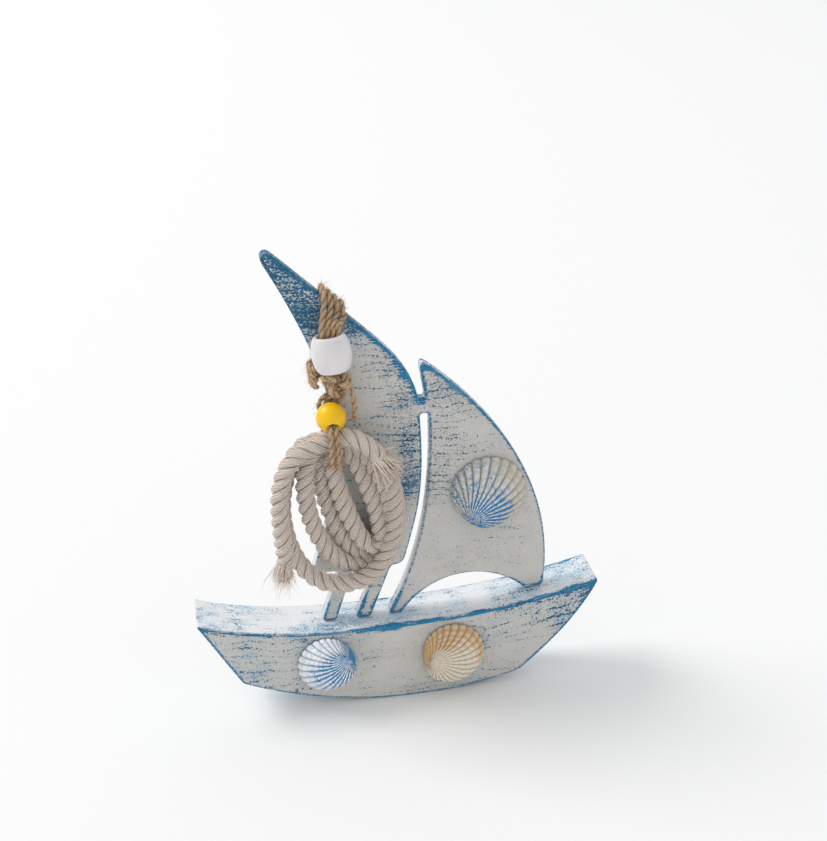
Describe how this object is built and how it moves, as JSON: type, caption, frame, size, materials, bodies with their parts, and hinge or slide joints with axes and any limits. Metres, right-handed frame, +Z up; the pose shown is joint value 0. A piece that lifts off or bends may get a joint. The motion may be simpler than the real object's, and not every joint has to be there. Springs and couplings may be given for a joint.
{
  "type": "toy boat",
  "caption": "Painted wooden sailing-boat ornament with a rocker hull, sawn sail board, glued cockle shells, and a rope coil hung from the sail on beaded twine.",
  "frame": {"origin": "on the flat under the hull, at mid-length and mid-thickness of the hull", "axes": "+X towards the stern, +Y away from the side that carries the shells and the rope, +Z up"},
  "size_m": [0.144, 0.0283, 0.1679],
  "materials": {
    "hull_paint": "white chalk paint brushed and sanded over blue, matt",
    "sail_paint": "white chalk paint brushed and sanded over blue, matt",
    "steel": "plain drawn wire",
    "shell_jib": "ribbed natural shell, whitewashed, blue near the beak",
    "shell_bow": "ribbed natural shell, white with blue paint between the ribs",
    "shell_stern": "ribbed natural shell, cream with ochre bands",
    "glue": "clear hot glue, set",
    "white_bead": "white satin lacquer",
    "yellow_bead": "yellow gloss lacquer",
    "jute": "two-ply natural jute twine, hairy",
    "cotton": "three-strand unbleached cotton rope, matt"
  },
  "bodies": {
    "root": {"hull": "hull_paint", "sail_board": "sail_paint", "foot_brad_1": "steel", "foot_brad_2": "steel", "foot_brad_3": "steel", "foot_brad_4": "steel", "shell_sail": "shell_jib", "shell_hull_bow": "shell_bow", "shell_hull_stern": "shell_stern", "glue_sail": "glue", "glue_hull_bow": "glue", "glue_hull_stern": "glue", "hanger_strand_1": "jute", "hanger_strand_2": "jute", "hanger_strand_3": "jute", "hanger_strand_4": "jute"},
    "barrel_bead": {"barrel_bead": "white_bead"},
    "knot": {"hanger_knot": "jute", "spare_tail": "jute"},
    "coil": {"sling_strand_1": "jute", "sling_strand_2": "jute", "rope_coil": "cotton", "rope_end": "cotton"},
    "yellow_bead": {"yellow_bead": "yellow_bead"}
  },
  "joints": [
    {"name": "barrel_bead_slide", "type": "slide", "parent": "root", "child": "barrel_bead", "axis": [0, 0, 1], "range_m": [0, 0.0015]},
    {"name": "pendant_sway", "type": "hinge", "parent": "root", "child": "knot", "pos_m": [-0.0186, -0.008, 0.1234], "axis": [0, 1, 0], "range_deg": [-17, 20]},
    {"name": "pendant_lift", "type": "hinge", "parent": "knot", "child": "coil", "pos_m": [-0.0186, -0.008, 0.1234], "axis": [1, 0, 0], "range_deg": [-60, 0]},
    {"name": "yellow_bead_spin", "type": "hinge", "parent": "coil", "child": "yellow_bead", "pos_m": [-0.0211, -0.0102, 0.1124], "axis": [0, 0.8829, 0.4695], "continuous": true}
  ]
}
